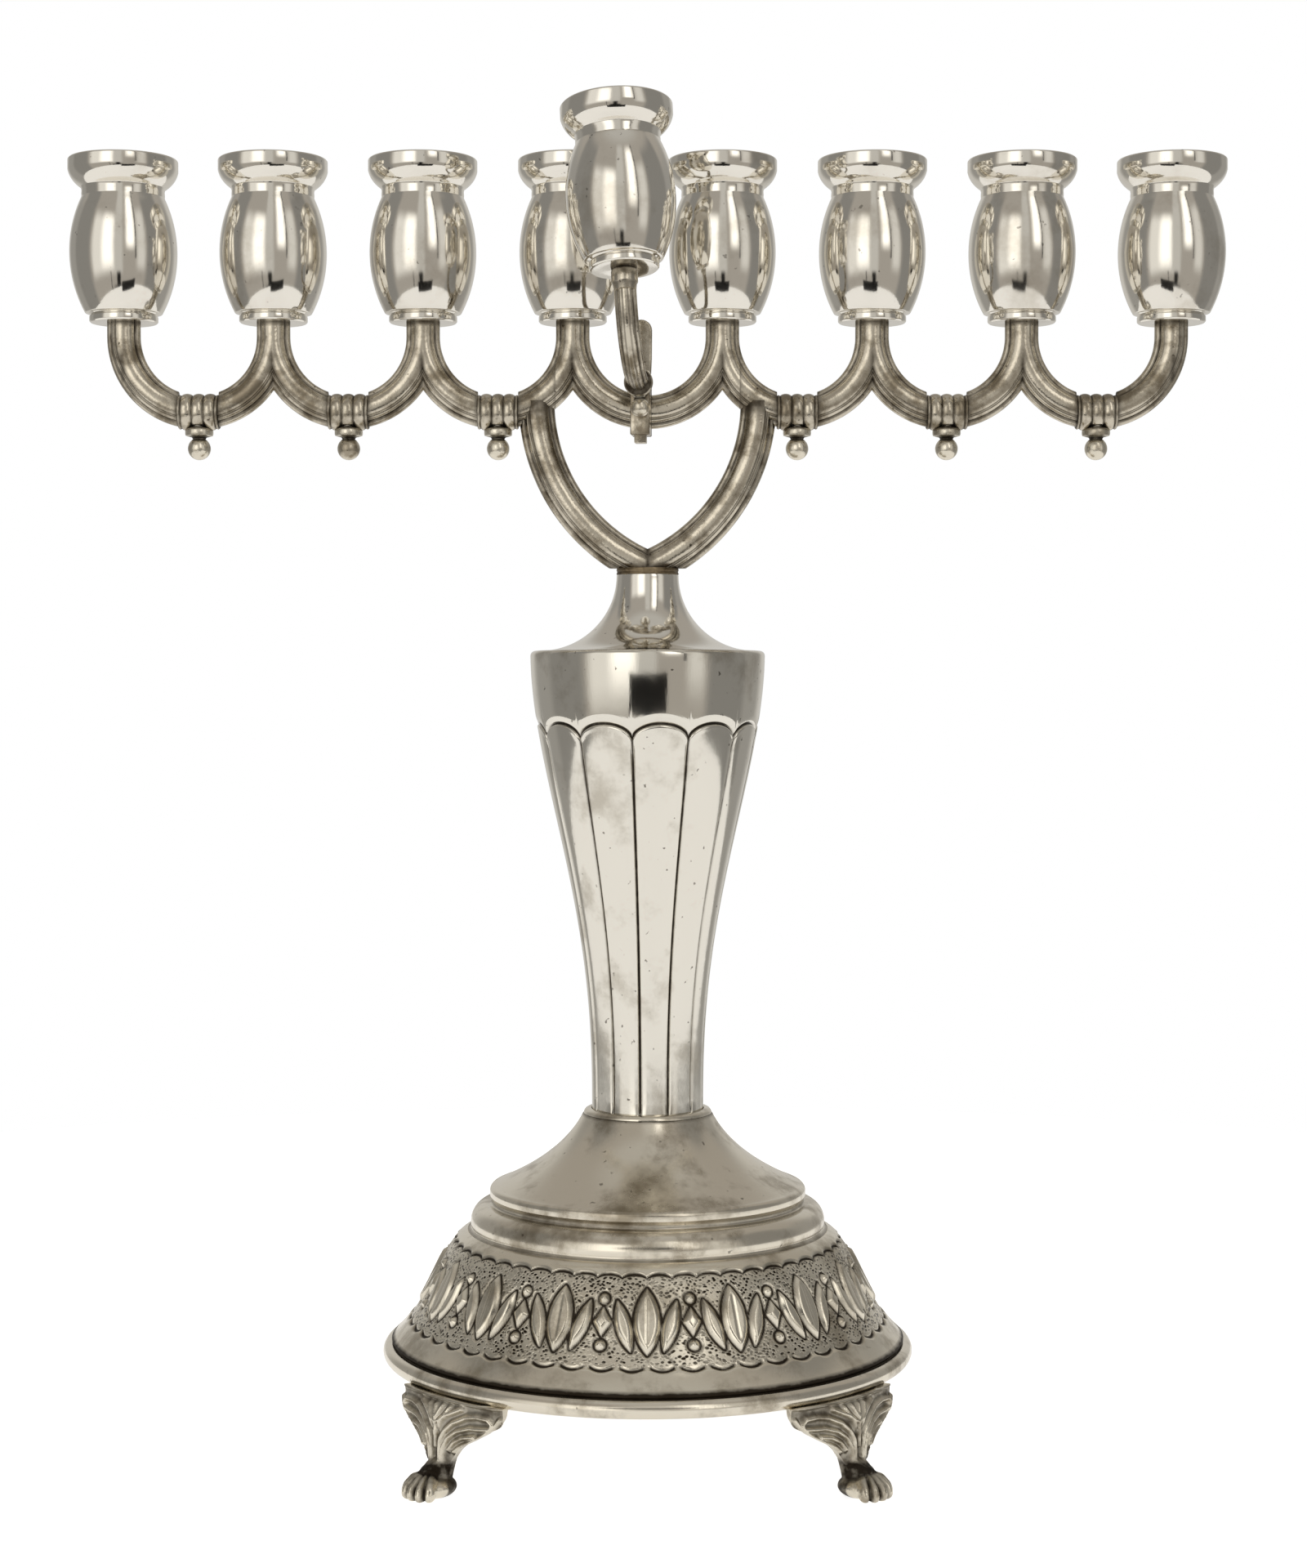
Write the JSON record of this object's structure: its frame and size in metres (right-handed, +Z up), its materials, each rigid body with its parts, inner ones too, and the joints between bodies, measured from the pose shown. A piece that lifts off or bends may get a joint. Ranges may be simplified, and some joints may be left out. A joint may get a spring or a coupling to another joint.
{
  "type": "menorah",
  "caption": "Hanukkah lamp: a row of candle cups on half-round branches above a vase-shaped stem and domed claw-footed base, with a lift-out servant light in front.",
  "frame": {"origin": "on the table, on the axis of the stem", "axes": "+X to the right along the row of cups, -Y to the front where the servant light stands, +Z up"},
  "size_m": [0.2348, 0.1082, 0.2696],
  "materials": {
    "polished_silver": "raised sheet silver, polished, lightly tarnished",
    "liner_silver": "plain silver, satin",
    "cast_silver": "cast silver with dark oxide in its grooves",
    "steel": "plain steel"
  },
  "bodies": {
    "lamp": {"base_shell": "polished_silver", "rim_ring": "polished_silver", "foot_front_left": "cast_silver", "foot_front_right": "cast_silver", "foot_back_left": "cast_silver", "foot_back_right": "cast_silver", "stem_seat_ring": "polished_silver", "stem_shell": "polished_silver", "neck_shell": "polished_silver", "tie_rod": "steel", "tie_nut": "steel", "tie_washer": "steel", "yoke_collar": "cast_silver", "heart_limb_left": "cast_silver", "heart_limb_right": "cast_silver", "centre_branch": "cast_silver", "branch_1": "cast_silver", "branch_2": "cast_silver", "branch_3": "cast_silver", "branch_6": "cast_silver", "branch_7": "cast_silver", "branch_8": "cast_silver", "collar_1_2": "cast_silver", "collar_2_3": "cast_silver", "collar_3_4": "cast_silver", "collar_5_6": "cast_silver", "collar_6_7": "cast_silver", "collar_7_8": "cast_silver", "finial_1_2": "cast_silver", "finial_2_3": "cast_silver", "finial_3_4": "cast_silver", "finial_5_6": "cast_silver", "finial_6_7": "cast_silver", "finial_7_8": "cast_silver", "cup_1": "polished_silver", "cup_2": "polished_silver", "cup_3": "polished_silver", "cup_4": "polished_silver", "cup_5": "polished_silver", "cup_6": "polished_silver", "cup_7": "polished_silver", "cup_8": "polished_silver", "candle_liner_1": "liner_silver", "candle_liner_2": "liner_silver", "candle_liner_3": "liner_silver", "candle_liner_4": "liner_silver", "candle_liner_5": "liner_silver", "candle_liner_6": "liner_silver", "candle_liner_7": "liner_silver", "candle_liner_8": "liner_silver", "cup_screws": "steel", "shamash_socket": "cast_silver"},
    "shamash": {"shamash_arm": "cast_silver", "shamash_tenon": "cast_silver", "shamash_collar": "cast_silver", "shamash_finial": "cast_silver", "shamash_cup": "polished_silver", "shamash_liner": "liner_silver", "shamash_screw": "steel"}
  },
  "joints": [
    {"name": "shamash_lift", "type": "slide", "parent": "lamp", "child": "shamash", "axis": [0, 0, 1], "range_m": [0, 0.03]}
  ]
}
